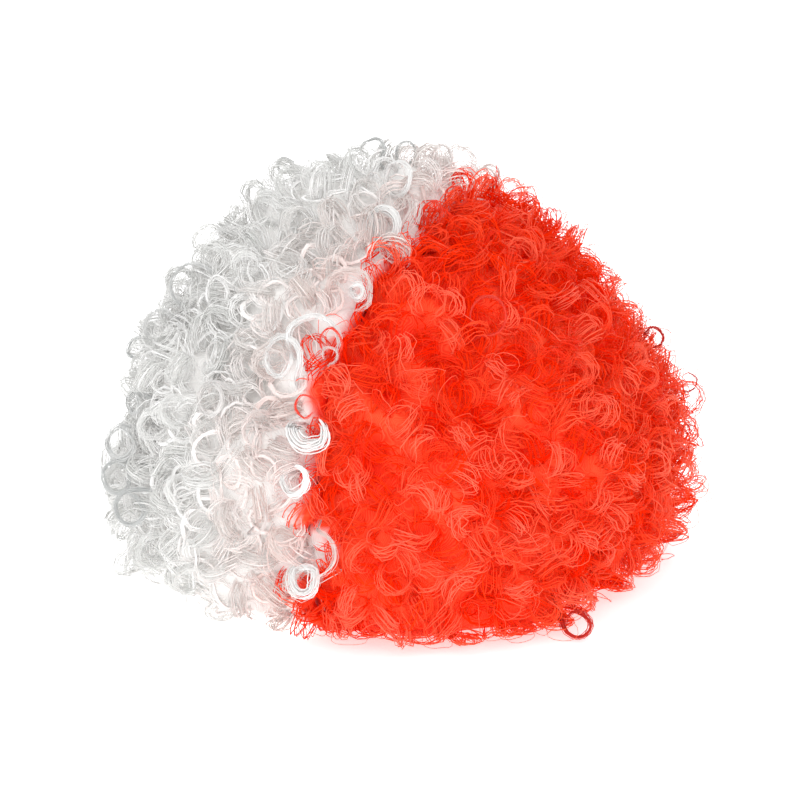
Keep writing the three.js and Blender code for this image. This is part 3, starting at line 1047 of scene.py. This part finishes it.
def fibre_material(look, tones):
    """Curled fibre, its colour by the tones of its strands, with painted light and shade and painted red
    bounce light in it.
    """
    material, nodes, links, shader = new_material(f"{look.half}_{look.look}_fibre")
    group = nodes.new("ShaderNodeGroup")
    group.node_tree = tones
    tone = group.outputs
    level = math_node(nodes, links, "MULTIPLY", tone["Lock"], LOCK_WEIGHT)
    level = math_node(nodes, links, "MULTIPLY_ADD", tone["Strand"], STRAND_WEIGHT, level)
    level = math_node(nodes, links, "MULTIPLY_ADD", tone["Streak"], STREAK_WEIGHT, level)
    stops = list(zip(TONE_STOPS, (look.dull, look.usual, look.bright)))
    surface = ramp_node(nodes, links, level, stops)
    # the side of each turn next to the mass takes the mostly paler deep colour: painted light
    inner = math_node(nodes, links, "SUBTRACT", 1.0, tone["Outer"])
    whole = mix_node(nodes, links, inner, surface, look.deep)
    # painted red bounce light on white locks near the parting
    bounce_tinted = mix_node(nodes, links, tone["Tint"], whole, PAINTED_RED_BOUNCE, "MULTIPLY")
    links.new(bounce_tinted, shader.inputs["Base Color"])
    shader.inputs["Roughness"].default_value = look.roughness
    shader.inputs["Specular IOR Level"].default_value = look.shine
    return material


def mass_material():
    """The dense hair seen between ringlets: fine fibres that lie in swirls, lighter and darker with the
    painted light and shade of the ringlets over it.
    """
    material, nodes, links, shader = new_material("hair_mass")
    place = nodes.new("ShaderNodeTexCoord")
    fibres = nodes.new("ShaderNodeTexWave")
    fibres.inputs["Scale"].default_value = WAVE_PERIOD / MASS_FIBRE
    fibres.inputs["Distortion"].default_value = MASS_SWIRL_AMOUNT
    fibres.inputs["Detail"].default_value = 1.0
    fibres.inputs["Detail Scale"].default_value = MASS_FIBRE / WAVE_PERIOD / MASS_SWIRL
    links.new(place.outputs["Object"], fibres.inputs["Vector"])
    # painted light and shade of the ringlets over the mass, mixed into the fibre lines
    lines = math_node(nodes, links, "MULTIPLY", fibres.outputs["Fac"], 1 - PAINTED_LIGHT_WEIGHT)
    tone = math_node(nodes, links, "MULTIPLY_ADD", attribute_node(nodes, PAINTED_LIGHT_MAP), PAINTED_LIGHT_WEIGHT, lines)
    white = ramp_node(nodes, links, tone, list(zip(MASS_STOPS, WHITE_MASS)))
    red = ramp_node(nodes, links, tone, list(zip(MASS_STOPS, RED_MASS)))
    colour = mix_node(nodes, links, attribute_node(nodes, RED_MAP), white, red)
    links.new(colour, shader.inputs["Base Color"])
    shader.inputs["Roughness"].default_value = MASS_ROUGHNESS
    shader.inputs["Specular IOR Level"].default_value = MASS_SHINE
    bump = nodes.new("ShaderNodeBump")
    bump.inputs["Strength"].default_value = MASS_BUMP_STRENGTH
    bump.inputs["Distance"].default_value = MASS_BUMP
    links.new(fibres.outputs["Fac"], bump.inputs["Height"])
    links.new(bump.outputs["Normal"], shader.inputs["Normal"])
    return material


def cap_material():
    """Stretch net: small open cells in a fine knit."""
    material, nodes, links, shader = new_material("cap_net")
    place = nodes.new("ShaderNodeTexCoord")
    cells = nodes.new("ShaderNodeTexVoronoi")
    cells.feature = "DISTANCE_TO_EDGE"
    cells.inputs["Scale"].default_value = NET_CELLS
    links.new(place.outputs["Object"], cells.inputs["Vector"])
    links.new(ramp_node(nodes, links, cells.outputs["Distance"], NET_STOPS), shader.inputs["Base Color"])
    shader.inputs["Roughness"].default_value = NET_ROUGHNESS
    return material


# Camera, light and floor

def add_camera():
    _, _, back, aim = camera_axes()
    data = bpy.data.cameras.new("photo_camera")
    data.sensor_width = SENSOR_WIDTH
    data.lens = SENSOR_WIDTH * CAMERA_DISTANCE / (IMAGE_SIZE * PIXEL_SIZE)
    camera = bpy.data.objects.new("photo_camera", data)
    camera.location = aim + back * CAMERA_DISTANCE
    camera.rotation_euler = Vector(back).to_track_quat("Z", "Y").to_euler()
    bpy.context.scene.collection.objects.link(camera)
    bpy.context.scene.camera = camera


def add_light(light):
    data = bpy.data.lights.new(light.name, "AREA")
    data.size = light.size
    data.energy = light.power
    panel = bpy.data.objects.new(light.name, data)
    panel.location = light.place
    panel.rotation_euler = (Vector(light.place) - Vector(LIGHT_AIM)).to_track_quat("Z", "Y").to_euler()
    bpy.context.scene.collection.objects.link(panel)


def add_world():
    world = bpy.data.worlds.new("studio")
    world.use_nodes = True
    background = world.node_tree.nodes["Background"]
    background.inputs["Color"].default_value = (1, 1, 1, 1)
    background.inputs["Strength"].default_value = WORLD_STRENGTH
    scene = bpy.context.scene
    scene.world = world
    scene.view_settings.view_transform = "Standard"
    scene.cycles.max_bounces = LIGHT_BOUNCES
    scene.cycles.diffuse_bounces = LIGHT_BOUNCES


def add_floor():
    bpy.ops.object.select_all(action="DESELECT")
    bpy.ops.mesh.primitive_plane_add(size=FLOOR_SIZE, location=(0, 0, 0))
    floor = bpy.context.object
    floor.name = "floor"
    material, _, _, shader = new_material("pale_floor")
    shader.inputs["Base Color"].default_value = (*FLOOR_COLOUR, 1)
    shader.inputs["Roughness"].default_value = FLOOR_ROUGHNESS
    shader.inputs["Emission Color"].default_value = (1, 1, 1, 1)
    shader.inputs["Emission Strength"].default_value = FLOOR_GLOW
    floor.data.materials.append(material)


add_camera()
for light in LIGHTS:
    add_light(light)
add_world()
add_floor()

strand_tones = strand_tones_group()
fibre_materials = {(look.half, look.look): fibre_material(look, strand_tones) for look in FIBRE_LOOKS}
mass_look = mass_material()
for half in HALVES:
    hair_mass(half, mass_look)

picture_rng = np.random.default_rng(PICTURE_SEED)
picture_middles = []
for half in HALVES:
    locks = [lock for lock in PICTURE_LOCKS if lock.half == half]
    curls = picture_curls(locks, picture_rng)
    picture_middles += [place for place, lock in zip(curls.middle, locks) if not on_outline(lock)]
    wind_ringlets(half, "picture", curls, fibre_materials[half, "picture"], picture_rng)

for seed, curl_set in enumerate(CURL_SETS, FIRST_SEED):
    rng = np.random.default_rng(seed)
    half, look = curl_set.half, LAYER_LOOKS[curl_set.layer]
    curls = scattered_curls(curl_set, np.array(picture_middles), rng)
    if (half, look) == ("white", "deep"):
        curls = off_parting(curls)
    wind_ringlets(half, curl_set.layer, curls, fibre_materials[half, look], rng)

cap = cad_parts["wig_cap"]
cap.data.materials.clear()
cap.data.materials.append(cap_material())
